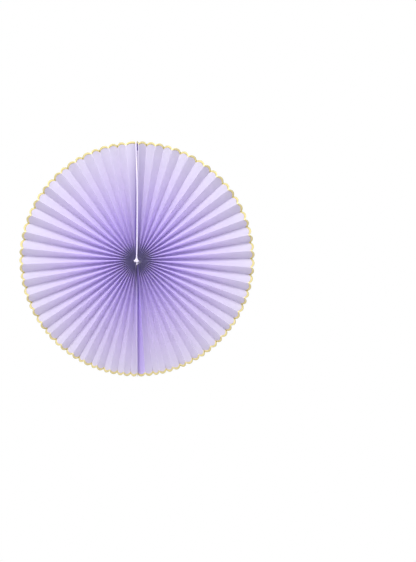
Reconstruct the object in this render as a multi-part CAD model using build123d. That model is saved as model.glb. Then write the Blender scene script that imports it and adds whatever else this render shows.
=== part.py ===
from build123d import *
from math import asin, cos, degrees, pi, radians, sin, sqrt, tan
import os

# A paper fan rosette. One sheet of card is folded like an accordion, tied round its middle and
# opened into two half discs that meet at a seam at the top and a seam at the bottom. A string
# holds the middle, and its long end runs up the top seam.
# Millimetres. The disc stands upright with its front towards -Y, and its origin is the centre
# of the rim at mid depth. Angles run clockwise from the top, seen from the front.

# The folded sheet
rosette_diameter = 400.0  # over the tips of the scallops
pleat_count = 46  # panels on each side of the tie
pleat_width = 25.0  # from one fold to the next, on the flat sheet
paper_thickness = 0.25
scallop_rise = 4.5  # from the valley between two scallops to the tip of one

# The middle, where the tie squeezes the folds together
hub_drop = 2.2  # how far the tied middle lies under the centre of the rim
hub_radius = 6.0  # where the pleats come out of the packed middle
waist_depth = 13.0  # what is left of the pleats' depth under the tie
funnel_radius = 26.0  # where the pleats are back to their full depth

# The two seams, where the free edges of the sheet meet
top_seam = 0.3
bottom_seam = 179.75
seam_gap = 0.1  # between the two free edges where the seam is closed
seam_closed_radius = 40.0  # nearer to the middle, the seam opens into a slit for the tie
top_lean = 1.2  # from the seam to the last back fold on the left, whose panel stands edge-on
bottom_lean = 0.4  # the same from the seam to the last back fold on the right

# The pleats open wider at the top than at the bottom, by this angle at the sides
right_skew = 6.4
left_skew = 8.1

# The string, with its knot in front of the packed middle
string_diameter = 2.2
tie_clearance = 0.05  # between the tie and the packed middle
tie_side_clearance = 0.2  # between the tie and the free edges beside it
knot_diameter = 8.0
knot_thickness = 3.4
knot_bevel = 0.9  # round its front and back edges
knot_drop = 0.5  # how far the knot lies under the middle
knot_sink = 0.6  # how far the knot is pressed into the tie
knot_stub = 5.5  # from the knot's centre to where the hanging cord begins
cord_rounding = 0.45  # share of the shorter run that each rounded corner of the cord takes

# The glue beads behind the seams
glue_diameter = 2.0
glue_clearance = 0.15
glue_inner_radius = 112.0
glue_outer_radius = 184.0

# How finely the twisted panels are divided along their length
station_count = 7
station_power = 1.8  # above 1, the stations crowd towards the middle

rim_radius = rosette_diameter / 2
valley_radius = rim_radius - scallop_rise
half_paper = paper_thickness / 2
string_radius = string_diameter / 2
glue_radius = glue_diameter / 2
last_fold = pleat_count
rim_centre = Vector(0, 0, 0)
hub_centre = Vector(0, 0, -hub_drop)
rightwards = Vector(1, 0, 0)
backwards = Vector(0, 1, 0)

# Half the width of the seam's opening, to the middle of the paper, at the tie and where closed
open_slit = string_radius + tie_side_clearance + half_paper
closed_slit = seam_gap / 2 + half_paper
slit_angle = degrees(asin(open_slit / hub_radius))

# The tie's centre line, measured from the middle of the packed paper
tie_half_depth = waist_depth / 2 + tie_clearance + string_radius
tie_half_height = hub_radius + tie_clearance + string_radius

# The hanging cord runs from the knot over the front of the pleats, then down into the groove
# left of the seam. Its points after the knot are places from the middle of the packed paper.
cord_points = [
    (0.1, -12.6, 17),
    (0.2, -14.3, 36),
    (0.4, -14.0, 72),
    (0.2, -13.0, 120),
    (-0.6, -10.6, 164),
    (-1.5, -7.6, 200.5),
]


def around(centre, radius, angle):
    return centre + Vector(sin(radians(angle)), 0, cos(radians(angle))) * radius


def rim_angles(start, end, lean, skew):
    # Fold angles at the rim for one half, from its free edge at one seam to the other. The last
    # panel stands edge-on, and the rest share what is left.
    edge = degrees(asin(closed_slit / valley_radius))
    shared = last_fold - 1
    span = end - lean - start - edge
    angles = [
        start + edge + span * fold / shared + skew * sin(pi * fold / shared)
        for fold in range(last_fold)
    ]
    return angles + [end - edge]


def hub_angles(start):
    span = 180 - 2 * slit_angle
    return [start + slit_angle + span * fold / last_fold for fold in range(last_fold + 1)]


def funnel(radius):
    # Share of the pleats' depth that is left near the tie
    reach = min(1.0, (radius - hub_radius) / (funnel_radius - hub_radius))
    return 1 - (1 - waist_depth / pleat_width) * (1 - reach) ** 2


def along_fold(radius):
    # How far out on a fold this radius lies, from 0 at the packed middle to 1 at the rim
    return (radius - hub_radius) / (valley_radius - hub_radius)


def fold_points(half, radius):
    # One point on every fold at this radius. Even folds lie at the front and odd folds at the
    # back, as far apart as the paper between them allows. The free edges close the slit.
    share = along_fold(radius)
    flat = []
    for rim, hub in zip(half["rim"], half["hub"]):
        inner = around(hub_centre, hub_radius, hub)
        outer = around(rim_centre, valley_radius, rim)
        flat.append(inner + (outer - inner) * share)
    straight = open_slit + (closed_slit - open_slit) * share
    closing = share / along_fold(seam_closed_radius)
    wanted = max(closed_slit, open_slit + (closed_slit - open_slit) * closing)
    for edge in (0, last_fold):
        flat[edge] += rightwards * (half["side"] * (wanted - straight))

    # The panel that stands edge-on reaches as far to the front as the others
    gaps = [(after - before).length for before, after in zip(flat, flat[1:])]
    gaps[-1] = gaps[-2]
    points = []
    for fold, place in enumerate(flat):
        spread = (gaps[max(fold - 1, 0)] + gaps[min(fold, last_fold - 1)]) / 2
        depth = sqrt(pleat_width**2 - spread**2) * funnel(radius)
        side = -1 if fold % 2 == 0 else 1
        points.append(place + backwards * (side * depth / 2))
    return points


def front_normal(start, end, tangent):
    # Unit vector square to one panel at one radius, pointing to the front
    across = (end - start).dot(tangent)
    deep = (end - start).Y
    length = sqrt(across**2 + deep**2)
    normal = tangent * (deep / length) - backwards * (across / length)
    return normal if normal.Y < 0 else normal * -1


def skins(half, radius):
    # Corners of the front and back faces of the folded sheet at one radius, fold by fold. A
    # fold has two corners on its outside, where the paper turns over, and one on its inside.
    points = fold_points(half, radius)
    front, back = [], []
    for fold, point in enumerate(points):
        out = (point - hub_centre).normalized()
        tangent = Vector(out.Z, 0, -out.X).normalized()
        normals = []
        if fold > 0:
            normals.append(front_normal(points[fold - 1], point, tangent))
        if fold < last_fold:
            normals.append(front_normal(point, points[fold + 1], tangent))
        ahead = [point + normal * half_paper for normal in normals]
        behind = [point - normal * half_paper for normal in normals]
        if len(normals) == 2:
            middle = normals[0] + normals[1]
            mitre = middle * (2 * half_paper / middle.dot(middle))
            if fold % 2 == 0:
                behind = [point - mitre]
            else:
                ahead = [point + mitre]
        front.append(ahead)
        back.append(behind)
    return front, back


def flat_face(*corners):
    return Face(Wire.make_polygon(corners, close=True))


def strip(inner, outer):
    # Two flat faces between an edge at one radius and the same edge at the next
    return [
        flat_face(inner[0], outer[0], outer[1]),
        flat_face(inner[0], outer[1], inner[1]),
    ]


def skin_edges(corners):
    # Every edge across one skin, panel by panel, with the narrow ones over its outside folds
    edges = []
    for fold, own in enumerate(corners):
        if len(own) == 2:
            edges.append((own[0], own[1]))
        if fold < last_fold:
            edges.append((own[-1], corners[fold + 1][0]))
    return edges


def scallop(sides, outward):
    # The round end of one panel: a flat face on each side and the cut edge between them
    arcs, faces = [], []
    for left, right in sides:
        along = (right - left).normalized()
        rise = (outward - along * outward.dot(along)).normalized() * scallop_rise
        arc = Edge.make_three_point_arc(left, (left + right) / 2 + rise, right)
        arcs.append(arc)
        faces.append(Face(Wire([arc, Edge.make_line(right, left)])))
    faces.append(Face.make_surface_from_curves(arcs[0], arcs[1]))
    return faces


def half_sections(half):
    sections = []
    for station in range(station_count + 1):
        share = (station / station_count) ** station_power
        sections.append(skins(half, hub_radius + (valley_radius - hub_radius) * share))
    return sections


def panel_faces(half, sections):
    # The panels of one half, open at the middle
    faces = []
    for inner, outer in zip(sections, sections[1:]):
        for near, far in zip(inner, outer):
            for near_edge, far_edge in zip(skin_edges(near), skin_edges(far)):
                faces += strip(near_edge, far_edge)
        for end in (0, last_fold):
            near_edge = (inner[0][end][0], inner[1][end][0])
            far_edge = (outer[0][end][0], outer[1][end][0])
            faces += strip(near_edge, far_edge)

    # A small face where each fold ends at the rim, then the scallops between them
    front, back = sections[-1]
    for fold in range(1, last_fold):
        faces.append(flat_face(*front[fold], *back[fold]))
    for fold in range(last_fold):
        outward = around(rim_centre, 1.0, (half["rim"][fold] + half["rim"][fold + 1]) / 2)
        sides = [(skin[fold][-1], skin[fold + 1][0]) for skin in (front, back)]
        faces += scallop(sides, outward)
    return faces


def packed_middle(right, left):
    # Where the tie presses the layers into one block, which joins the two halves. Its wall fills
    # the grooves between the panels, and its front and back reach from fold to fold.
    faces = []
    for skin, first in ((0, 1), (1, 2)):
        for side in (right[skin], left[skin]):
            for fold in range(first, last_fold, 2):
                faces.append(flat_face(side[fold - 1][-1], side[fold][0], side[fold + 1][0]))

    # Each end of a half: the free edge's front corner, its back corner and the next fold's corner
    right_start = (right[0][0][0], right[1][0][0], right[1][1][0])
    right_end = (right[0][-1][0], right[1][-1][0], right[1][-2][-1])
    left_start = (left[0][0][0], left[1][0][0], left[1][1][0])
    left_end = (left[0][-1][0], left[1][-1][0], left[1][-2][-1])
    for right_side, left_side in ((right_start, left_end), (right_end, left_start)):
        faces += strip(right_side[1:], left_side[1:])

    front = [corner for fold in right[0][::2] for corner in fold]
    front += [right_end[1], left_start[1]]
    front += [corner for fold in left[0][::2] for corner in fold]
    front += [left_end[1], right_start[1]]
    back = [corner for fold in right[1][1::2] for corner in fold]
    back += [corner for fold in left[1][1::2] for corner in fold]
    for side, outline in ((-1, front), (1, back)):
        middle = hub_centre + backwards * (side * waist_depth / 2)
        for corner, after in zip(outline, outline[1:] + outline[:1]):
            faces.append(flat_face(middle, corner, after))
    return faces


def pleated_sheet(right_half, left_half):
    right = half_sections(right_half)
    left = half_sections(left_half)
    faces = panel_faces(right_half, right) + panel_faces(left_half, left)
    return Solid(Shell(faces + packed_middle(right[0], left[0])))


def waist_tie(knot_centre, cord_way):
    # A loop in the slits over and under the packed middle, with its knot at the front
    loop_plane = Plane(origin=hub_centre, x_dir=backwards, z_dir=rightwards)
    outside = Rectangle(2 * tie_half_depth, 2 * tie_half_height)
    path = (loop_plane * outside).wire()
    section = Plane(origin=path @ 0, z_dir=path % 0) * Circle(string_radius)
    loop = sweep(section, path=path, transition=Transition.RIGHT)

    knot = Pos(*knot_centre) * Rot(90, 0, 0) * Cylinder(knot_diameter / 2, knot_thickness)
    knot = chamfer(knot.edges().filter_by(GeomType.CIRCLE), knot_bevel)
    stub = Solid.make_cylinder(string_radius, knot_stub, Plane(knot_centre, z_dir=cord_way))
    return loop + knot + stub


def hanging_cord(route):
    radii = []
    for before, corner, after in zip(route, route[1:], route[2:]):
        turn = radians((corner - before).get_angle(after - corner))
        shorter = min((corner - before).length, (after - corner).length)
        radii.append(cord_rounding * shorter / tan(turn / 2))
    print("cord radii", [round(radius) for radius in radii])
    path = FilletPolyline(*route, radius=radii)
    section = Plane(origin=route[0], z_dir=route[1] - route[0]) * Circle(string_radius)
    cord = sweep(section, path=path)
    print("cord length", round(path.length, 1))
    print("cord volume", round(cord.volume, 1), round(path.length * pi * string_radius**2, 1))
    return cord


def bead_centre(right_panel, left_panel):
    # Where a bead lies against both panels behind a seam. Each panel is its free edge and fold.
    reach = half_paper + glue_clearance + glue_radius
    squares, sums = [], []
    for side, (edge, fold) in ((1, right_panel), (-1, left_panel)):
        along = Vector(fold.X - edge.X, fold.Y - edge.Y, 0).normalized()
        square = Vector(-along.Y * side, along.X * side, 0)
        squares.append(square)
        sums.append(square.X * edge.X + square.Y * edge.Y + reach)
    right, left = squares
    area = right.X * left.Y - right.Y * left.X
    across = (sums[0] * left.Y - sums[1] * right.Y) / area
    deep = (right.X * sums[1] - left.X * sums[0]) / area
    return Vector(across, deep, (right_panel[0].Z + left_panel[0].Z) / 2)


def seam_glue(right_half, left_half, right_end, left_end):
    # Each end is the number of the free edge and of the fold next to it
    centres = []
    for radius in (glue_inner_radius, glue_outer_radius):
        right_points = fold_points(right_half, radius)
        left_points = fold_points(left_half, radius)
        right_panel = [right_points[fold] for fold in right_end]
        left_panel = [left_points[fold] for fold in left_end]
        centres.append(bead_centre(right_panel, left_panel))
    run = centres[1] - centres[0]
    return Solid.make_cylinder(glue_radius, run.length, Plane(origin=centres[0], z_dir=run))


right_half = {
    "side": 1,
    "rim": rim_angles(top_seam, bottom_seam, bottom_lean, right_skew),
    "hub": hub_angles(0),
}
left_half = {
    "side": -1,
    "rim": rim_angles(bottom_seam, 360 + top_seam, top_lean, -left_skew),
    "hub": hub_angles(180),
}
first_end = (0, 1)
last_end = (last_fold, last_fold - 1)
knot_reach = tie_half_depth + string_radius + knot_thickness / 2 - knot_sink
knot_centre = hub_centre + Vector(0, -knot_reach, -knot_drop)
cord_route = [hub_centre + Vector(*point) for point in cord_points]
cord_way = (cord_route[0] - knot_centre).normalized()
cord_route.insert(0, knot_centre + cord_way * knot_stub)
nodes = {
    "pleated_sheet": pleated_sheet(right_half, left_half),
    "waist_tie": waist_tie(knot_centre, cord_way),
    "hanging_cord": hanging_cord(cord_route),
    "top_seam_glue": seam_glue(right_half, left_half, first_end, last_end),
    "bottom_seam_glue": seam_glue(right_half, left_half, last_end, first_end),
}
os.makedirs("parts", exist_ok=True)
for name, solid in nodes.items():
    solid.label = name
    export_step(solid, f"parts/{name}.step")
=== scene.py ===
from math import asin, cos, degrees, pi, radians, sin, sqrt

import bpy
import numpy as np
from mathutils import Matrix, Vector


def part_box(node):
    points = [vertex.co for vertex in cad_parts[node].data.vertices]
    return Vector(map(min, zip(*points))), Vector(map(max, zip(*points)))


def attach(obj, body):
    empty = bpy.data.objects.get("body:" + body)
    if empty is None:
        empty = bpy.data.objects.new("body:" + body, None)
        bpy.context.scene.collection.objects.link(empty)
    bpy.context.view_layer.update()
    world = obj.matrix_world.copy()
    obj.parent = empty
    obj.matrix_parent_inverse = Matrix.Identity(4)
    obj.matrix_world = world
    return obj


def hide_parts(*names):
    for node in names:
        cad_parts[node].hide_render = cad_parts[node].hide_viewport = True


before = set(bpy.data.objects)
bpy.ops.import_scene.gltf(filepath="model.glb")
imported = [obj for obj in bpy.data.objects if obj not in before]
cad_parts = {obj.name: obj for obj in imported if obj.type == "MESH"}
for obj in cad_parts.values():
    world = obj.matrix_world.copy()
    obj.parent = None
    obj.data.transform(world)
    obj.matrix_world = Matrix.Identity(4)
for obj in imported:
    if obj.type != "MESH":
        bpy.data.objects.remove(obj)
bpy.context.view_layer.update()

mm = 0.001  # lengths below are millimetres, and become metres when a mesh is made
sheetLow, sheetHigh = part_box("pleated_sheet")
rimRadius = (sheetHigh.z - sheetLow.z) / 2 / mm
print("frame loaded, rim radius", round(rimRadius, 1), "mm")

# Where the rosette sits in the photograph, in pixels, and the photograph's scale
photo = {
    "width": 416,
    "height": 562,
    "rimCentre": (137.0, 258.9),
    "mmPerPixel": 1.698,
    "cameraDistance": 6000.0,
    "sensor": 36.0,  # along the photograph's longer side
    "sightEnd": 50000.0,  # the camera sees nothing beyond this
}

# The sheet of card, as it was folded, tied and opened; a side is 1 on the right and -1 on the left
card = {
    "pleats": 46,
    "pleatWidth": 25.0,
    "thickness": 0.25,
    "scallopRise": 4.5,
    "hubDrop": 2.2,  # the tied middle sits a little below the rim's centre
    "hubRadius": 6.0,  # half the height of the stack of folds under the tie
    "waistDepth": 13.0,  # that stack's depth, as squeezed by the tie
    "funnelRadius": 26.0,  # where the pleats have their full depth again
    "topSeam": 0.3,  # degrees clockwise from the top
    "bottomSeam": 179.75,
    "topLean": 1.2,  # degrees at the rim that the end panel beside a seam leans
    "bottomLean": 0.4,
    "rightSkew": 6.4,  # degrees that the folds shift towards the bottom, halfway down
    "leftSkew": 8.1,
    "slitAtTie": 1.425,  # from the seam to each half's edge, before the slits below
    "slitAtRim": 0.175,
    # pairs of radius and how far each half's edge stands from the seam there: the cord hangs in
    # front of the top slit, and the slit below the tie closes with the distance
    "topSlit": {
        -1: [(6, 1.425), (20, 2.6), (60, 3.0), (110, 2.6), (150, 2.4), (200, 2.6)],
        1: [(6, 1.425), (20, 1.1), (60, 1.0), (140, 0.6), (170, 1.0), (200, 1.2)],
    },
    "lowSlit": {
        -1: [(6, 1.425), (12, 1.6), (30, 1.5), (48, 0.4), (200, 0.2)],
        1: [(6, 1.425), (12, 1.3), (30, 1.5), (50, 1.5), (80, 0.3), (200, 0.2)],
    },
    "slitCover": 0.5,  # how far an end panel's back fold passes behind the other half's edge
    "slitCoverStart": 10.0,  # the radius from which it does, and how fast that grows
    "slitCoverRise": 0.06,
    # side, panel and how far out, where 250 is all of it: where the sheet's ends lie glued over
    # each other, and the last panels inside the slits. Both get painted shade, a darker colour,
    # darkest on the panels deep in the slits
    "doubled": [(1, 44, 250.0)],
    "gluedEnd": [(1, 45, 78.0), (-1, 0, 250.0)],
    "markFade": 45.0,  # both fade out over this length
    "columnsPerPleat": 10,
    "rowsAlongPleat": 26,
    "rowCrowding": 1.6,  # above 1 the rows crowd towards the tie
    "rowsInScallop": 4,
    "angleWobble": 0.2,  # degrees, how unevenly the pleats were pressed
    "bow": 0.35,  # how far a panel bellies out between its folds
    "bowSpread": (-0.6, 1.0),  # lowest and highest share of that on single panels
    "seed": 7,
}
pleats = card["pleats"]
hub = np.array([0.0, -card["hubDrop"]])
valleyRadius = rimRadius - card["scallopRise"]
slitAngle = degrees(asin(card["slitAtTie"] / card["hubRadius"]))
random = np.random.default_rng(card["seed"])


def spot(radius, angles):
    # x and z of places round the front, with angles clockwise from the top
    turn = np.radians(angles)
    return np.stack([np.sin(turn), np.cos(turn)], axis=-1) * radius


def spreadFolds(start, end, lean, skew):
    # rim angles of one half's folds, whose last panel stands edge-on at a seam
    edge = degrees(asin(card["slitAtRim"] / valleyRadius))
    share = np.arange(pleats) / (pleats - 1)
    span = end - lean - start - edge
    angles = start + edge + span * share + skew * np.sin(pi * share)
    angles[1:-1] += random.normal(0, card["angleWobble"], pleats - 2)
    return np.append(angles, end - edge)


def makeHalf(side):
    # both halves count their folds from the top seam down to the bottom one
    hubAngles = slitAngle + (180 - 2 * slitAngle) * np.arange(pleats + 1) / pleats
    if side > 0:
        seams = card["topSeam"], card["bottomSeam"]
        rim = spreadFolds(*seams, card["bottomLean"], card["rightSkew"])
        edgeOn, beside = pleats - 1, pleats - 2
    else:
        seams = card["bottomSeam"], 360 + card["topSeam"]
        rim = spreadFolds(*seams, card["topLean"], -card["leftSkew"])[::-1]
        hubAngles = 360 - hubAngles
        edgeOn, beside = 0, 1
    return {
        "side": side,
        "inner": hub + spot(card["hubRadius"], hubAngles),
        "outer": spot(valleyRadius, rim),
        "edgeOn": edgeOn,
        "beside": beside,
        "bow": card["bow"] * random.uniform(*card["bowSpread"], pleats),
    }


def foldRow(half, radius):
    # every fold's point at one radius: even folds at the front, odd folds at the back
    reach = valleyRadius - card["hubRadius"]
    share = (radius - card["hubRadius"]) / reach
    flat = half["inner"] + (half["outer"] - half["inner"]) * share
    even = card["slitAtTie"] + (card["slitAtRim"] - card["slitAtTie"]) * share
    edges = {}
    for name in ("topSlit", "lowSlit"):
        edges[name] = {side: np.interp(radius, *zip(*card[name][side])) for side in (1, -1)}
    flat[0, 0] += half["side"] * (edges["topSlit"][half["side"]] - even)
    flat[-1, 0] += half["side"] * (edges["lowSlit"][half["side"]] - even)
    cover = min(card["slitCover"], (radius - card["slitCoverStart"]) * card["slitCoverRise"])
    if half["side"] > 0:
        flat[-2, 0] = flat[-1, 0] - sum(edges["lowSlit"].values()) - cover
    else:
        flat[1, 0] = flat[0, 0] + sum(edges["topSlit"].values()) + cover
    gaps = np.linalg.norm(np.diff(flat, axis=0), axis=1)
    gaps[half["edgeOn"]] = gaps[half["beside"]]
    spread = (np.append(gaps[0], gaps) + np.append(gaps, gaps[-1])) / 2
    settle = min(1.0, (radius - card["hubRadius"]) / (card["funnelRadius"] - card["hubRadius"]))
    funnel = 1 - (1 - card["waistDepth"] / card["pleatWidth"]) * (1 - settle) ** 2
    depth = np.sqrt(card["pleatWidth"] ** 2 - spread**2) * funnel / 2
    depth[::2] *= -1
    return np.stack([flat[:, 0], depth, flat[:, 1]], axis=1)


def waistRow():
    # under the tie the folds of both halves lie stacked on each other
    stack = card["hubRadius"] * cos(radians(slitAngle))
    height = hub[1] + stack * (1 - 2 * np.arange(pleats + 1) / pleats)
    depth = np.full(pleats + 1, card["waistDepth"] / 2)
    depth[::2] *= -1
    return np.stack([np.zeros(pleats + 1), depth, height], axis=1)


# One scallop is an arc over its pleat: where its columns stand across the pleat, and how high
arcRadius = (card["pleatWidth"] ** 2 / 4 + card["scallopRise"] ** 2) / 2 / card["scallopRise"]
arcHalf = asin(card["pleatWidth"] / 2 / arcRadius)
arcTurns = np.linspace(-arcHalf, arcHalf, card["columnsPerPleat"] + 1)
arcAcross = 0.5 + arcRadius * np.sin(arcTurns) / card["pleatWidth"]
arcHeights = arcRadius * np.cos(arcTurns) - (arcRadius - card["scallopRise"])


def panelFrame(folds, panel):
    # the two folds beside one panel, the way out in its plane, and its front normal
    start, end = folds[panel], folds[panel + 1]
    along = (end - start) / np.linalg.norm(end - start)
    middle = (start + end) / 2
    out = np.array([middle[0], 0.0, middle[2]])
    out -= along * out.dot(along)
    out /= np.linalg.norm(out)
    normal = np.cross(along, out)
    if normal[1] > 0:
        normal = -normal
    return start, end, out, normal


def panelPoints(half, folds, panel, across, heights, bowShare, lift=0.0):
    # places on one panel, or on its scallop where the heights are above 0
    start, end, out, normal = panelFrame(folds, panel)
    narrowing = 0.5 + (across - 0.5) * (1 + np.minimum(heights, 0) / valleyRadius)
    points = start + np.outer(narrowing, end - start) + np.outer(heights, out)
    belly = half["bow"][panel] * bowShare * np.sin(pi * np.clip(across, 0, 1))
    return points + np.outer(belly + lift, normal)


def sheetRow(half, folds, heights, bowShare):
    # one row of the sheet across all its panels; neighbours share the column on their fold
    parts = []
    for panel in range(pleats):
        parts.append(panelPoints(half, folds, panel, arcAcross, heights, bowShare))
    return np.vstack([part[:-1] for part in parts] + [parts[-1][-1:]])


def rowShares():
    # the rows stand closer together towards the tie, where the pleats are squeezed
    return np.linspace(0, 1, card["rowsAlongPleat"] + 1) ** card["rowCrowding"]


def halfRows(half):
    # rows from beside the waist out to the valleys, then up into the scallops
    rows = []
    flatLine = np.zeros_like(arcAcross)
    hubFolds = foldRow(half, card["hubRadius"])
    rows.append(sheetRow(half, (hubFolds + waistRow()) / 2, flatLine, 0.0))
    for share in rowShares():
        radius = card["hubRadius"] + (valleyRadius - card["hubRadius"]) * share
        rows.append(sheetRow(half, foldRow(half, radius), flatLine, share))
    valleyFolds = foldRow(half, valleyRadius)
    for row in range(1, card["rowsInScallop"] + 1):
        heights = arcHeights * row / card["rowsInScallop"]
        rows.append(sheetRow(half, valleyFolds, heights, 1.0))
    return rows


def makeObject(name, vertices, faces, slotName):
    # a mesh in metres that rides on the part's one body
    mesh = bpy.data.meshes.new(name)
    mesh.from_pydata((np.asarray(vertices) * mm).tolist(), [], faces)
    mesh.validate()
    mesh.polygons.foreach_set("use_smooth", [True] * len(mesh.polygons))
    piece = bpy.data.objects.new(name, mesh)
    bpy.context.scene.collection.objects.link(piece)
    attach(piece, "root")
    return piece


def layOutFlat(piece, places):
    # a UV map that holds the flat sheet in metres, so that fibres lie in the card
    layer = piece.data.uv_layers.new(name="flatSheet")
    corners = np.array([loop.vertex_index for loop in piece.data.loops])
    layer.data.foreach_set("uv", (np.asarray(places)[corners] * mm).ravel())


def thicken(piece, thickness):
    solid = piece.modifiers.new("thickness", "SOLIDIFY")
    solid.thickness = thickness * mm
    solid.offset = 0.0
    return piece


def flatDistances():
    # how far each row of one half lies from the tie on the flat sheet, rim first
    distances = card["hubRadius"] + (valleyRadius - card["hubRadius"]) * rowShares()
    scallop = np.full(card["rowsInScallop"], valleyRadius)
    return np.concatenate([scallop, distances[::-1], [card["hubRadius"] / 2]])


def flatPlaces(distances):
    # every point's place on the flat sheet: along its length, and out from the tie
    across = (np.arange(pleats)[:, None] + arcAcross[:-1]).ravel()
    flat = np.zeros((2 * len(distances) + 1, len(across) + 1, 2))
    flat[..., 0] = np.append(across, pleats) * card["pleatWidth"]
    outwards = np.repeat(distances[:, None], len(across) + 1, axis=1)
    scallops = np.append(np.tile(arcHeights[:-1], pleats), 0)
    count = card["rowsInScallop"]
    outwards[:count] += scallops * np.arange(count, 0, -1)[:, None] / count
    flat[:len(distances), :, 1] = outwards
    flat[-len(distances):, :, 1] = -outwards[::-1]
    return flat


def markPanels(piece, name, distances):
    # a face attribute, 1 on the panels that the card's values name, fading out with the radius
    marks = np.zeros((2 * len(distances), pleats))
    for side, panel, reach in card[name]:
        markShare = np.clip((reach - distances) / card["markFade"], 0, 1)
        marks[:, panel] = np.append(markShare * (side > 0), markShare[::-1] * (side < 0))
    marks = np.repeat(marks, card["columnsPerPleat"], axis=1)
    piece.data.attributes.new(name, "FLOAT", "FACE").data.foreach_set("value", marks.ravel())


def creaseFolds(piece, grid, foldColumns):
    # the folds stay sharp while the panels between them are shaded smoothly
    creases = set()
    for column in foldColumns[1:-1]:
        for near, far in zip(grid[:, column], grid[1:, column]):
            creases.add((min(near, far), max(near, far)))
    sharp = [tuple(sorted(edge.vertices)) in creases for edge in piece.data.edges]
    piece.data.attributes.new("sharp_edge", "BOOLEAN", "EDGE").data.foreach_set("value", sharp)


def makeSheet(right, left):
    # right rim, waist, left rim: one sheet, since each fold runs through the tie
    rightRows, leftRows = halfRows(right), halfRows(left)
    middle = sheetRow(right, waistRow(), np.zeros_like(arcAcross), 0.0)
    rows = rightRows[::-1] + [middle] + leftRows
    columns = len(rows[0])
    numbers = np.arange(len(rows) * columns).reshape(len(rows), columns)

    # a scallop has no height at its folds, so its rows end on the valley's corners there
    foldColumns = np.arange(0, columns, card["columnsPerPleat"])
    valleyRow = card["rowsInScallop"]
    for row in range(valleyRow):
        numbers[row, foldColumns] = numbers[valleyRow, foldColumns]
        numbers[-1 - row, foldColumns] = numbers[-1 - valleyRow, foldColumns]

    used, renumbered = np.unique(numbers, return_inverse=True)
    grid = renumbered.reshape(numbers.shape)
    vertices = np.vstack(rows)[used]
    faces = []
    for near, far in zip(grid, grid[1:]):
        for corners in zip(near, near[1:], far[1:], far):
            face = list(dict.fromkeys(int(corner) for corner in corners))
            if len(face) > 2:
                faces.append(face)
    piece = makeObject("pleatedCard", vertices, faces, "lilac_card")

    distances = flatDistances()
    layOutFlat(piece, flatPlaces(distances).reshape(-1, 2)[used])
    markPanels(piece, "doubled", distances)
    markPanels(piece, "gluedEnd", distances)
    creaseFolds(piece, grid, foldColumns)
    thicken(piece, card["thickness"])
    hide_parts("pleated_sheet")
    return piece


right = makeHalf(1)
left = makeHalf(-1)
cardSheet = makeSheet(right, left)
print("card sheet folded,", len(cardSheet.data.polygons), "faces")

# The foil stripe along the scallops, hot stamped on both sides of the card
foil = {"width": 3.9, "thickness": 0.04, "lift": 0.03}


def makeFoil():
    vertices, faces, flat = [], [], []
    columns = card["columnsPerPleat"] + 1
    for half in (right, left):
        folds = foldRow(half, valleyRadius)
        for panel in range(pleats):
            along = (panel + arcAcross) * card["pleatWidth"]
            for front in (1, -1):
                first = len(vertices)
                lift = front * (card["thickness"] / 2 + foil["lift"])
                for heights in (arcHeights, arcHeights - foil["width"]):
                    points = panelPoints(half, folds, panel, arcAcross, heights, 1.0, lift)
                    vertices += points.tolist()
                    flat += zip(along, heights)
                for column in range(first, first + columns - 1):
                    face = [column, column + 1, column + columns + 1, column + columns]
                    faces.append(face[::front])
    piece = makeObject("goldFoilEdge", vertices, faces, "gold_foil")
    layOutFlat(piece, flat)
    return thicken(piece, foil["thickness"])


foilEdge = makeFoil()
print("foil stamped")

# The string: cotton, twisted from plies. Its route is given from the middle of the tied card,
# as places across, deep and up.
string = {
    "diameter": 2.1,
    "plies": 3,
    "plyOverlap": 1.12,  # the plies are soft and press into each other
    "twist": 7.0,  # length of one full turn of a ply
    "plySides": 8,
    "step": 0.5,
    "splineSteps": 24,
    "route": [
        (-0.6, -10.7, 4.93),
        (0.0, -12.6, 17),
        (0.2, -14.3, 36),
        (0.5, -14.0, 72),
        (0.5, -13.0, 120),
        (-0.6, -10.6, 164),
        (-1.7, -7.6, 200.5),
    ],
}
tie = {"halfDepth": 7.65, "halfHeight": 7.15, "bend": 1.4, "steps": 72}
knot = {
    "side": -0.8,
    "reach": 9.85,  # in front of the tied card's middle
    "drop": 0.5,
    "width": 1.2,
    "height": 0.95,
    "swell": 1.0,
    "steps": 120,
}

# The string's short end, cut off beside the knot and untwisted into a fan of thin fibres; each
# tip is given as how far it lies across from the seam and up from the knot
frayedEnd = {
    "tips": [
        (-6.6, 0.9),
        (-5.4, -2.4),
        (-1.2, -5.6),
        (1.6, -7.2),
        (4.4, -6.0),
        (6.3, -3.6),
        (7.4, -0.6),
    ],
    "reach": 9.3,
    "thick": 0.5,
    "thin": 0.2,
    "curl": 1.1,
    "steps": 12,
}


def splineLine(points):
    # points read from the smooth spline that has these as its control points
    curve = bpy.data.curves.new("route", "CURVE")
    curve.dimensions = "3D"
    curve.resolution_u = string["splineSteps"]
    spline = curve.splines.new("NURBS")
    spline.points.add(len(points) - 1)
    for place, point in zip(spline.points, points):
        place.co = (*point, 1)
    spline.order_u = 3
    spline.use_endpoint_u = True
    guide = bpy.data.objects.new("route", curve)
    bpy.context.scene.collection.objects.link(guide)
    bpy.context.view_layer.update()
    line = bpy.data.meshes.new_from_object(guide)
    found = np.array([vertex.co[:] for vertex in line.vertices])
    bpy.data.objects.remove(guide)
    bpy.data.meshes.remove(line)
    bpy.data.curves.remove(curve)
    return found


def evenSteps(line, step):
    lengths = np.append(0, np.cumsum(np.linalg.norm(np.diff(line, axis=0), axis=1)))
    places = np.linspace(0, lengths[-1], max(2, round(lengths[-1] / step)) + 1)
    return np.stack([np.interp(places, lengths, line[:, axis]) for axis in range(3)], axis=1)


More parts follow.
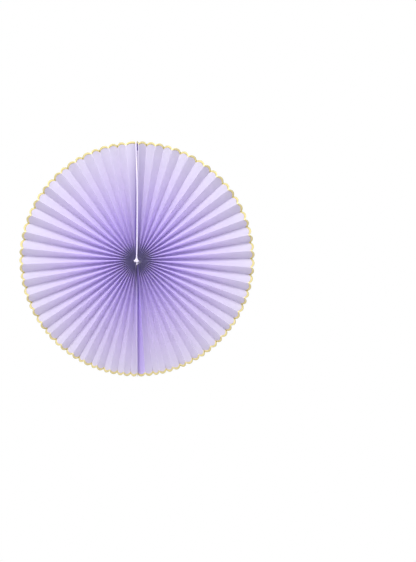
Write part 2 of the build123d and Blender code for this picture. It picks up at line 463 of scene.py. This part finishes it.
def carryFrame(line):
    # two directions square to a line at each of its places, without twisting round it
    aslant = [0.3, 0.2, 0.93]  # no line here starts along this
    tangents = np.gradient(line, axis=0)
    tangents /= np.linalg.norm(tangents, axis=1)[:, None]
    sideways = np.cross(tangents[0], aslant)
    sides = []
    for tangent in tangents:
        sideways = sideways - tangent * sideways.dot(tangent)
        sideways = sideways / np.linalg.norm(sideways)
        sides.append(sideways)
    sides = np.array(sides)
    return sides, np.cross(tangents, sides)


def strand(centres, sides, uprights, radii):
    # one round strand with closed ends, as vertices and faces
    rows, corners = len(centres), string["plySides"]
    thickness = np.broadcast_to(radii, rows)[:, None]
    vertices, faces = [], []
    for corner in range(corners):
        around = 2 * pi * corner / corners
        vertices += (centres + thickness * (sides * cos(around) + uprights * sin(around))).tolist()
        here, there = corner * rows, (corner + 1) % corners * rows
        for row in range(rows - 1):
            faces.append([here + row, here + row + 1, there + row + 1, there + row])
    ends = [corner * rows for corner in range(corners)]
    return vertices, faces + [ends, [end + rows - 1 for end in ends[::-1]]]


def joinStrings(parts):
    vertices, faces = [], []
    for points, corners in parts:
        faces += [[corner + len(vertices) for corner in face] for face in corners]
        vertices += points
    return vertices, faces


def twistString(line, closed=False):
    # plies wound round a line
    line = evenSteps(np.asarray(line, float), string["step"])
    sides, uprights = carryFrame(line)
    length = string["step"] * (len(line) - 1)
    turns = max(1, round(length / string["twist"])) / length if closed else 1 / string["twist"]
    plyRadius = string["diameter"] / 2 / (1 + 2 / sqrt(3)) * string["plyOverlap"]
    orbit = string["diameter"] / 2 - plyRadius
    parts = []
    for ply in range(string["plies"]):
        angles = 2 * pi * (ply / string["plies"] + np.arange(len(line)) * string["step"] * turns)
        around = sides * np.cos(angles)[:, None] + uprights * np.sin(angles)[:, None]
        parts.append(strand(line + orbit * around, sides, uprights, plyRadius))
    return joinStrings(parts)


def frayedFibre(start, across, height):
    # a tapering fibre that curls from the knot to its tip
    tip = np.array([across, -frayedEnd["reach"], start[2] + height])
    share = np.linspace(0, 1, frayedEnd["steps"] + 1)[:, None]
    sideways = np.cross(tip - start, [0, 1, 0]) / np.linalg.norm(tip - start)
    curl = sideways * np.sin(pi * share) * random.uniform(-1, 1) * frayedEnd["curl"]
    line = start + (tip - start) * share + curl
    radii = np.linspace(frayedEnd["thick"], frayedEnd["thin"], len(line)) / 2
    return strand(line, *carryFrame(line), radii)


def makeTie():
    # a loop over and under the card, an overhand knot in front of it, and the cord's first bit
    corner = tie["bend"]
    deep, tall = tie["halfDepth"] - corner, tie["halfHeight"] - corner
    loop = []
    for turn in np.linspace(0, 2 * pi, tie["steps"] + 1):
        way = np.array([np.cos(turn), np.sin(turn)])
        around = np.sign(way) * [deep, tall] + corner * way
        loop.append([0, around[0], hub[1] + around[1]])
    middle = np.array([knot["side"], -knot["reach"], hub[1] - knot["drop"]])
    knotLine = []
    for turn in np.linspace(0, 2 * pi, knot["steps"] + 1):
        # a trefoil's curve, which is an overhand knot with its ends joined
        across = sin(turn) + 2 * sin(2 * turn)
        height = cos(turn) - 2 * cos(2 * turn)
        place = (across * knot["width"], knot["swell"] * sin(3 * turn), -height * knot["height"])
        knotLine.append(middle + np.array(place))
    start = np.array(string["route"][0]) + [0, 0, hub[1]]
    parts = [twistString(loop, True), twistString(knotLine, True), twistString([middle, start])]
    parts += [frayedFibre(middle, across, height) for across, height in frayedEnd["tips"]]
    piece = makeObject("tiedString", *joinStrings(parts), "white_string")
    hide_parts("waist_tie")
    return piece


def makeCord():
    route = [(across, deep, height + hub[1]) for across, deep, height in string["route"]]
    line = splineLine(route)
    piece = makeObject("hangingCord", *twistString(line), "white_string")
    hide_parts("hanging_cord")
    length = np.linalg.norm(np.diff(line, axis=0), axis=1).sum()
    return piece, length


tiedString = makeTie()
hangingCord, cordLength = makeCord()
print("string tied, cord", round(cordLength, 1), "mm long")


def linear(hexColour):
    # an sRGB hex colour as the linear colour that a shader takes
    channels = [int(hexColour[place:place + 2], 16) / 255 for place in (1, 3, 5)]
    return [c / 12.92 if c <= 0.04045 else ((c + 0.055) / 1.055) ** 2.4 for c in channels] + [1.0]


def addNode(tree, kind, settings=(), inputs=()):
    # one node with its settings; an input is a value, or a node and the name of its output
    node = tree.nodes.new(kind)
    for name, value in dict(settings).items():
        setattr(node, name, value)
    for name, value in dict(inputs).items():
        if isinstance(value, tuple) and isinstance(value[0], bpy.types.Node):
            tree.links.new(value[0].outputs[value[1]], node.inputs[name])
        else:
            node.inputs[name].default_value = value
    return node


def newMaterial(name):
    # an empty node tree with the output already there
    material = bpy.data.materials.new(name)
    material.use_nodes = True
    tree = material.node_tree
    tree.nodes.clear()
    return material, tree, addNode(tree, "ShaderNodeOutputMaterial")


cardLook = {
    # by how far out from the tie: painted light. The card is darker near the tie as painted shade
    # where the pleats crowd, and paler and greyer towards the rim, where bright light washes the
    # colour out
    "colourWithPaintedLight": [
        (14.0, "#c3bcde"),
        (30.0, "#e8dcfb"),
        (70.0, "#e8ddfa"),
        (110.0, "#e8dff6"),
        (150.0, "#e8e1f2"),
        (190.0, "#e7e3ee"),
    ],
    "seeThrough": 0.45,  # share of the light that passes into the card and out at its back
    "doubledSeeThrough": 0.12,  # the same on the doubled card and on the end panels in the slits
    # painted shade: the panel where the sheet's ends lie over each other is darkened as if in
    # shadow
    "doubledPaintedShade": "#dacff3",
    # painted shade, darkest on the end panels deep in the slits
    "slitEndPaintedShade": "#9d90c4",
    "mottle": 0.03,  # how unevenly the dye took
    "mottleSize": 30.0,
    "mottleDetail": 3.0,
    "roughness": 0.82,
    "shine": 0.25,
    "fibreSize": 0.9,  # real fibres are about 0.05 mm wide, too fine to show, so these are coarser
    "fibreDetail": 4.0,
    "fibreDepth": 0.02,
    "fibreStrength": 0.4,
}


def lilacCard():
    # Dyed uncoated card of about 200 g/m2: matte, very slightly mottled, with a felt-like tooth.
    material, tree, output = newMaterial("dyedUncoatedCard")
    flat = addNode(tree, "ShaderNodeUVMap", {"uv_map": "flatSheet"})
    mottle = addNode(tree, "ShaderNodeTexNoise", {"noise_dimensions": "2D"}, {
        "Vector": (flat, "UV"),
        "Scale": 1 / (cardLook["mottleSize"] * mm),
        "Detail": cardLook["mottleDetail"],
    })
    parts = addNode(tree, "ShaderNodeSeparateXYZ", {}, {"Vector": (flat, "UV")})
    away = addNode(tree, "ShaderNodeMath", {"operation": "ABSOLUTE"}, {"Value": (parts, "Y")})
    outwards = addNode(tree, "ShaderNodeMath", {"operation": "DIVIDE"}, {"Value": (away, "Value")})
    outwards.inputs[1].default_value = rimRadius * mm
    # painted light: the card's colour darkens towards the tie as painted shade, and pales towards
    # the rim
    ramp = addNode(tree, "ShaderNodeValToRGB", {}, {"Fac": (outwards, "Value")})
    stops = ramp.color_ramp.elements
    while len(stops) < len(cardLook["colourWithPaintedLight"]):
        stops.new(0.5)
    for stop, (radius, colour) in zip(stops, cardLook["colourWithPaintedLight"]):
        stop.position = radius / rimRadius
        stop.color = linear(colour)
    unevenness = addNode(tree, "ShaderNodeMapRange", {}, {
        "Value": (mottle, "Fac"),
        "To Min": 1 - 2 * cardLook["mottle"],
        "To Max": 1.0,
    })
    dyeAndPaintedShade = ramp
    layers = []
    # painted shade: the colour is darkened on the doubled panel and, most, on the end panels in
    # the slits
    for name, colour in (("doubled", "doubledPaintedShade"), ("gluedEnd", "slitEndPaintedShade")):
        layers.append(addNode(tree, "ShaderNodeAttribute", {"attribute_name": name}))
        shade = addNode(tree, "ShaderNodeValToRGB", {}, {"Fac": (layers[-1], "Fac")})
        shade.color_ramp.elements[0].color = (1, 1, 1, 1)
        shade.color_ramp.elements[1].color = linear(cardLook[colour])
        darker = addNode(tree, "ShaderNodeVectorMath", {"operation": "MULTIPLY"})
        tree.links.new(dyeAndPaintedShade.outputs[0], darker.inputs[0])
        tree.links.new(shade.outputs["Color"], darker.inputs[1])
        dyeAndPaintedShade = darker
    denser = addNode(tree, "ShaderNodeMath", {"operation": "MAXIMUM"})
    for layer, socket in zip(layers, denser.inputs):
        tree.links.new(layer.outputs["Fac"], socket)
    tint = addNode(tree, "ShaderNodeVectorMath", {"operation": "SCALE"})
    tree.links.new(dyeAndPaintedShade.outputs["Vector"], tint.inputs[0])
    tree.links.new(unevenness.outputs["Result"], tint.inputs["Scale"])
    fibres = addNode(tree, "ShaderNodeTexNoise", {"noise_dimensions": "2D"}, {
        "Vector": (flat, "UV"),
        "Scale": 1 / (cardLook["fibreSize"] * mm),
        "Detail": cardLook["fibreDetail"],
    })
    tooth = addNode(tree, "ShaderNodeBump", {}, {
        "Height": (fibres, "Fac"),
        "Strength": cardLook["fibreStrength"],
        "Distance": cardLook["fibreDepth"] * mm,
    })
    surface = addNode(tree, "ShaderNodeBsdfPrincipled", {}, {
        "Roughness": cardLook["roughness"],
        "Specular IOR Level": cardLook["shine"],
        "Normal": (tooth, "Normal"),
    })
    tree.links.new(tint.outputs["Vector"], surface.inputs["Base Color"])
    through = addNode(tree, "ShaderNodeBsdfTranslucent", {}, {"Normal": (tooth, "Normal")})
    tree.links.new(tint.outputs["Vector"], through.inputs["Color"])
    share = addNode(tree, "ShaderNodeMapRange", {}, {
        "Value": (denser, "Value"),
        "To Min": cardLook["seeThrough"],
        "To Max": cardLook["doubledSeeThrough"],
    })
    both = addNode(tree, "ShaderNodeMixShader", {}, {"Fac": (share, "Result")})
    tree.links.new(surface.outputs["BSDF"], both.inputs[1])
    tree.links.new(through.outputs["BSDF"], both.inputs[2])

    # the sheet has two faces close together: light that enters at one only leaves at the other
    side = addNode(tree, "ShaderNodeNewGeometry")
    inside = addNode(tree, "ShaderNodeBsdfTransparent")
    once = addNode(tree, "ShaderNodeMixShader", {}, {"Fac": (side, "Backfacing")})
    tree.links.new(both.outputs["Shader"], once.inputs[1])
    tree.links.new(inside.outputs["BSDF"], once.inputs[2])
    tree.links.new(once.outputs["Shader"], output.inputs["Surface"])
    return material


foilLook = {
    "colour": "#e4d894",
    "roughness": 0.42,
    "metallic": 0.3,  # foil alone is 1, but stamped this thin it scatters light as the card does
    "grainSize": 1.2,  # the card's tooth under it, as coarse as it needs to be to show
    "grainDetail": 2.0,
    "grainDepth": 0.012,
    "grainStrength": 0.5,
}


def stampedFoil():
    # Hot-stamped gold foil: thin metal on card, so it glints but keeps the card's fine tooth.
    material, tree, output = newMaterial("hotStampedGoldFoil")
    flat = addNode(tree, "ShaderNodeUVMap", {"uv_map": "flatSheet"})
    grain = addNode(tree, "ShaderNodeTexNoise", {"noise_dimensions": "2D"}, {
        "Vector": (flat, "UV"),
        "Scale": 1 / (foilLook["grainSize"] * mm),
        "Detail": foilLook["grainDetail"],
    })
    tooth = addNode(tree, "ShaderNodeBump", {}, {
        "Height": (grain, "Fac"),
        "Strength": foilLook["grainStrength"],
        "Distance": foilLook["grainDepth"] * mm,
    })
    surface = addNode(tree, "ShaderNodeBsdfPrincipled", {}, {
        "Base Color": linear(foilLook["colour"]),
        "Roughness": foilLook["roughness"],
        "Metallic": foilLook["metallic"],
        "Normal": (tooth, "Normal"),
    })
    tree.links.new(surface.outputs["BSDF"], output.inputs["Surface"])
    return material


stringLook = {
    "colour": "#e3deea",
    "roughness": 0.9,
    "fuzz": 0.35,
    "fibreSize": 0.35,  # cotton fibres are about 0.02 mm wide, so these stand for bunches of them
    "fibreDetail": 3.0,
    "fibreDepth": 0.05,
    "fibreStrength": 0.6,
}


def twistedCotton():
    # White cotton string: matte and soft, with fine fibres that catch a little light at the edge.
    material, tree, output = newMaterial("twistedCottonString")
    place = addNode(tree, "ShaderNodeTexCoord")
    fibres = addNode(tree, "ShaderNodeTexNoise", {}, {
        "Vector": (place, "Object"),
        "Scale": 1 / (stringLook["fibreSize"] * mm),
        "Detail": stringLook["fibreDetail"],
    })
    lay = addNode(tree, "ShaderNodeBump", {}, {
        "Height": (fibres, "Fac"),
        "Strength": stringLook["fibreStrength"],
        "Distance": stringLook["fibreDepth"] * mm,
    })
    surface = addNode(tree, "ShaderNodeBsdfPrincipled", {}, {
        "Base Color": linear(stringLook["colour"]),
        "Roughness": stringLook["roughness"],
        "Sheen Weight": stringLook["fuzz"],
        "Normal": (lay, "Normal"),
    })
    tree.links.new(surface.outputs["BSDF"], output.inputs["Surface"])
    return material


glueLook = {
    "colour": "#dcd3e6",
    "roughness": 0.3,
    "clear": 0.8,  # share of the light that goes through
    "waveSize": 4.0,
    "waveDepth": 0.1,
    "waveStrength": 0.5,
}


def hotGlue():
    # Hot-melt glue, squeezed on and set: cloudy but see-through, smooth and a little wavy.
    material, tree, output = newMaterial("hotMeltGlue")
    place = addNode(tree, "ShaderNodeTexCoord")
    waves = addNode(tree, "ShaderNodeTexNoise", {}, {
        "Vector": (place, "Object"),
        "Scale": 1 / (glueLook["waveSize"] * mm),
    })
    skin = addNode(tree, "ShaderNodeBump", {}, {
        "Height": (waves, "Fac"),
        "Strength": glueLook["waveStrength"],
        "Distance": glueLook["waveDepth"] * mm,
    })
    surface = addNode(tree, "ShaderNodeBsdfPrincipled", {}, {
        "Base Color": linear(glueLook["colour"]),
        "Roughness": glueLook["roughness"],
        "Transmission Weight": glueLook["clear"],
        "Normal": (skin, "Normal"),
    })
    tree.links.new(surface.outputs["BSDF"], output.inputs["Surface"])
    return material


def dress(piece, material):
    piece.data.materials.clear()
    piece.data.materials.append(material)


dress(cardSheet, lilacCard())
dress(foilEdge, stampedFoil())
cotton = twistedCotton()
dress(tiedString, cotton)
dress(hangingCord, cotton)
glue = hotGlue()
for name in ("top_seam_glue", "bottom_seam_glue"):
    dress(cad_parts[name], glue)
print("materials made")


def seenPlainly(tree):
    # 1 for what the camera, the foil and anything clear see; light that soaks through the card is
    # diffuse, so it doesn't count as clear
    rays = addNode(tree, "ShaderNodeLightPath")
    clear = addNode(tree, "ShaderNodeMath", {"operation": "SUBTRACT"})
    tree.links.new(rays.outputs["Is Transmission Ray"], clear.inputs[0])
    tree.links.new(rays.outputs["Is Diffuse Ray"], clear.inputs[1])
    mirrored = addNode(tree, "ShaderNodeMath", {"operation": "MAXIMUM"})
    tree.links.new(rays.outputs["Is Glossy Ray"], mirrored.inputs[0])
    tree.links.new(clear.outputs["Value"], mirrored.inputs[1])
    seen = addNode(tree, "ShaderNodeMath", {"operation": "MAXIMUM"})
    tree.links.new(rays.outputs["Is Camera Ray"], seen.inputs[0])
    tree.links.new(mirrored.outputs["Value"], seen.inputs[1])
    return seen


# A plain pale floor well below the hanging rosette, which keeps its soft shadow
floorLook = {
    "drop": 620.0,
    "radius": 1300.0,
    "sides": 96,
    "colour": "#f4f3f2",
    "roughness": 0.9,
    "paler": 0.5,  # how far the camera sees it towards pure white
}


def makeFloor():
    corners = []
    radius = floorLook["radius"] * mm
    for turn in np.linspace(0, 2 * pi, floorLook["sides"], endpoint=False):
        corners.append((radius * cos(turn), radius * sin(turn), -floorLook["drop"] * mm))
    mesh = bpy.data.meshes.new("floor")
    mesh.from_pydata(corners, [], [list(range(floorLook["sides"]))])
    floor = bpy.data.objects.new("floor", mesh)
    bpy.context.scene.collection.objects.link(floor)
    material, tree, output = newMaterial("paintedFloor")
    paint = addNode(tree, "ShaderNodeBsdfPrincipled", {}, {
        "Base Color": linear(floorLook["colour"]),
        "Roughness": floorLook["roughness"],
    })
    seen = seenPlainly(tree)
    paler = addNode(tree, "ShaderNodeMath", {"operation": "MULTIPLY"}, {"Value": (seen, "Value")})
    paler.inputs[1].default_value = floorLook["paler"]
    white = addNode(tree, "ShaderNodeEmission")
    both = addNode(tree, "ShaderNodeMixShader", {}, {"Fac": (paler, "Value")})
    tree.links.new(paint.outputs["BSDF"], both.inputs[1])
    tree.links.new(white.outputs["Emission"], both.inputs[2])
    tree.links.new(both.outputs["Shader"], output.inputs["Surface"])
    dress(floor, material)


makeFloor()

# Soft light from above and in front, and an even room light; the lamps' places are in metres
light = {
    "above": {"place": (-0.25, -2.1, 1.45), "size": 1.3, "watts": 78.0},
    "front": {"place": (0.2, -4.0, 0.95), "size": 1.2, "watts": 5.0},
    "room": 0.57,
    "roomColour": "#e4deff",
}


def makeLamp(name, values):
    # a round soft lamp that points at the rosette's middle
    lamp = bpy.data.lights.new(name, "AREA")
    lamp.shape = "DISK"
    lamp.size = values["size"]
    lamp.energy = values["watts"]
    holder = bpy.data.objects.new(name, lamp)
    holder.location = values["place"]
    holder.rotation_euler = (-holder.location).to_track_quat("-Z", "Y").to_euler()
    bpy.context.scene.collection.objects.link(holder)


def makeRoom():
    # the room lights the object evenly, while the camera, the foil and anything clear see white
    world = bpy.data.worlds.new("room")
    bpy.context.scene.world = world
    world.use_nodes = True
    tree = world.node_tree
    tree.nodes.clear()
    dim = addNode(tree, "ShaderNodeBackground", {}, {
        "Color": linear(light["roomColour"]),
        "Strength": light["room"],
    })
    white = addNode(tree, "ShaderNodeBackground", {}, {"Color": (1, 1, 1, 1), "Strength": 1.0})
    choice = addNode(tree, "ShaderNodeMixShader", {}, {"Fac": (seenPlainly(tree), "Value")})
    tree.links.new(dim.outputs[0], choice.inputs[1])
    tree.links.new(white.outputs[0], choice.inputs[2])
    output = addNode(tree, "ShaderNodeOutputWorld")
    tree.links.new(choice.outputs[0], output.inputs["Surface"])


makeLamp("lampAbove", light["above"])
makeLamp("lampFront", light["front"])
makeRoom()


def makeCamera():
    # looks straight at the photograph's middle, from far enough off to see the pleats square on
    pixel = photo["mmPerPixel"]
    middle = (
        (photo["width"] / 2 - photo["rimCentre"][0]) * pixel,
        (photo["rimCentre"][1] - photo["height"] / 2) * pixel,
    )
    camera = bpy.data.objects.new("camera", bpy.data.cameras.new("camera"))
    camera.data.sensor_width = photo["sensor"]
    camera.data.lens = photo["sensor"] * photo["cameraDistance"] / (photo["height"] * pixel)
    camera.data.clip_end = photo["sightEnd"] * mm
    camera.location = (middle[0] * mm, -photo["cameraDistance"] * mm, middle[1] * mm)
    camera.rotation_euler = (pi / 2, 0, 0)
    bpy.context.scene.collection.objects.link(camera)
    bpy.context.scene.camera = camera


makeCamera()
bpy.context.scene.view_settings.view_transform = "Standard"
print("camera and lights placed")
